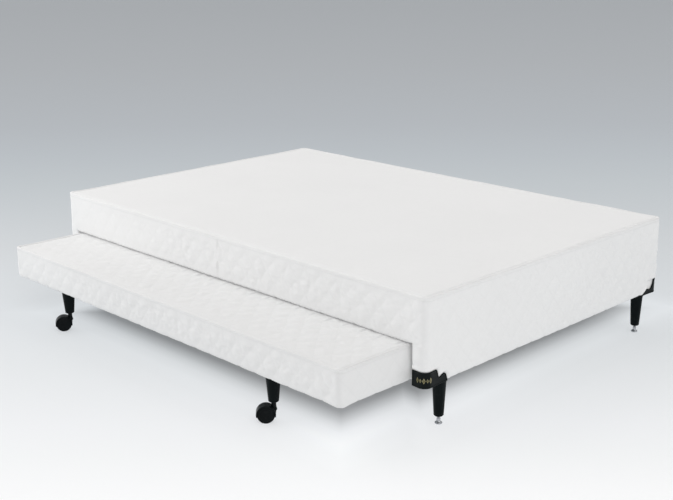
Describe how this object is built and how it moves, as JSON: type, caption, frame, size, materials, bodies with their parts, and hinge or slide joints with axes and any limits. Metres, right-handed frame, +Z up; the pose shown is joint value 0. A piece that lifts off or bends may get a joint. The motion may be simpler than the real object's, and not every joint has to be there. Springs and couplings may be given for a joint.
{
  "type": "trundle bed",
  "caption": "Upholstered double bed base on tapered legs with levelling glides, over a castered pull-out trundle base.",
  "frame": {"origin": "on the floor, under the centre of the whole object with the trundle pulled out 280 mm", "axes": "+X along the bed, +Z up, -Y towards the side the trundle pulls out of"},
  "size_m": [1.88, 1.5855, 0.42],
  "materials": {
    "timber": "sawn, unfinished",
    "hardboard": "smooth brown board",
    "foam": "open-cell foam",
    "cover_fabric": "smooth knitted ticking",
    "quilted_fabric": "diamond-quilted knitted ticking",
    "tape": "rolled edge tape",
    "lining": "spun-bonded lining",
    "guard_plastic": "moulded, satin gloss",
    "leg_plastic": "moulded, fine texture",
    "caster_plastic": "moulded, satin gloss",
    "wheel_plastic": "hard nylon",
    "glide_chrome": "polished plating",
    "zinc_steel": "zinc plated"
  },
  "bodies": {
    "bed_base": {"end_rails": "timber", "back_rails": "timber", "frame_posts": "timber", "front_header_beam": "timber", "frame_skins": "hardboard", "deck_joists": "timber", "deck_board": "hardboard", "foam_pad": "foam", "top_cover": "cover_fabric", "edge_tape": "tape", "side_border": "quilted_fabric", "bay_linings": "lining", "deck_dust_cover": "lining", "corner_guard_fl": "guard_plastic", "corner_guard_fr": "guard_plastic", "corner_guard_bl": "guard_plastic", "corner_guard_br": "guard_plastic", "guard_screws": "zinc_steel", "leg_fl": "leg_plastic", "leg_fr": "leg_plastic", "leg_bl": "leg_plastic", "leg_br": "leg_plastic", "leg_studs": "zinc_steel", "leg_tee_nuts": "zinc_steel"},
    "trundle": {"trundle_long_rails": "timber", "trundle_end_rails": "timber", "trundle_slats": "timber", "trundle_board": "hardboard", "trundle_foam": "foam", "trundle_cover": "quilted_fabric", "trundle_edge_tape": "tape", "trundle_border": "quilted_fabric", "trundle_dust_cover": "lining", "trundle_leg_fl": "leg_plastic", "trundle_leg_fr": "leg_plastic", "trundle_leg_bl": "leg_plastic", "trundle_leg_br": "leg_plastic", "trundle_leg_studs": "zinc_steel", "trundle_tee_nuts": "zinc_steel"},
    "leveler_fl": {"leveler_fl": "glide_chrome"},
    "leveler_fr": {"leveler_fr": "glide_chrome"},
    "leveler_bl": {"leveler_bl": "glide_chrome"},
    "leveler_br": {"leveler_br": "glide_chrome"},
    "caster_fl": {"caster_housing_fl": "caster_plastic", "caster_stem_fl": "zinc_steel"},
    "wheels_fl": {"caster_wheels_fl": "wheel_plastic", "caster_axle_fl": "zinc_steel"},
    "caster_fr": {"caster_housing_fr": "caster_plastic", "caster_stem_fr": "zinc_steel"},
    "wheels_fr": {"caster_wheels_fr": "wheel_plastic", "caster_axle_fr": "zinc_steel"},
    "caster_bl": {"caster_housing_bl": "caster_plastic", "caster_stem_bl": "zinc_steel"},
    "wheels_bl": {"caster_wheels_bl": "wheel_plastic", "caster_axle_bl": "zinc_steel"},
    "caster_br": {"caster_housing_br": "caster_plastic", "caster_stem_br": "zinc_steel"},
    "wheels_br": {"caster_wheels_br": "wheel_plastic", "caster_axle_br": "zinc_steel"}
  },
  "joints": [
    {"name": "trundle_pull", "type": "slide", "parent": "bed_base", "child": "trundle", "axis": [0, -1, 0], "range_m": [-0.28, 0.6]},
    {"name": "leveler_fl_screw", "type": "slide", "parent": "bed_base", "child": "leveler_fl", "axis": [0, 0, -1], "range_m": [0, 0.012]},
    {"name": "leveler_fr_screw", "type": "slide", "parent": "bed_base", "child": "leveler_fr", "axis": [0, 0, -1], "range_m": [0, 0.012]},
    {"name": "leveler_bl_screw", "type": "slide", "parent": "bed_base", "child": "leveler_bl", "axis": [0, 0, -1], "range_m": [0, 0.012]},
    {"name": "leveler_br_screw", "type": "slide", "parent": "bed_base", "child": "leveler_br", "axis": [0, 0, -1], "range_m": [0, 0.012]},
    {"name": "caster_fl_swivel", "type": "hinge", "parent": "trundle", "child": "caster_fl", "pos_m": [-0.572, -0.7372, 0.085], "axis": [0, 0, 1], "continuous": true},
    {"name": "wheels_fl_spin", "type": "hinge", "parent": "caster_fl", "child": "wheels_fl", "pos_m": [-0.584, -0.75799, 0.0275], "axis": [0.866, -0.5, 0], "continuous": true},
    {"name": "caster_fr_swivel", "type": "hinge", "parent": "trundle", "child": "caster_fr", "pos_m": [0.561, -0.7372, 0.085], "axis": [0, 0, 1], "continuous": true},
    {"name": "wheels_fr_spin", "type": "hinge", "parent": "caster_fr", "child": "wheels_fr", "pos_m": [0.54526, -0.75531, 0.0275], "axis": [0.7547, -0.6561, 0], "continuous": true},
    {"name": "caster_bl_swivel", "type": "hinge", "parent": "trundle", "child": "caster_bl", "pos_m": [-0.572, 0.0828, 0.085], "axis": [0, 0, 1], "continuous": true},
    {"name": "wheels_bl_spin", "type": "hinge", "parent": "caster_bl", "child": "wheels_bl", "pos_m": [-0.58611, 0.06338, 0.0275], "axis": [0.809, -0.5878, 0], "continuous": true},
    {"name": "caster_br_swivel", "type": "hinge", "parent": "trundle", "child": "caster_br", "pos_m": [0.561, 0.0828, 0.085], "axis": [0, 0, 1], "continuous": true},
    {"name": "wheels_br_spin", "type": "hinge", "parent": "caster_br", "child": "wheels_br", "pos_m": [0.54317, 0.06674, 0.0275], "axis": [0.6691, -0.7431, 0], "continuous": true}
  ]
}
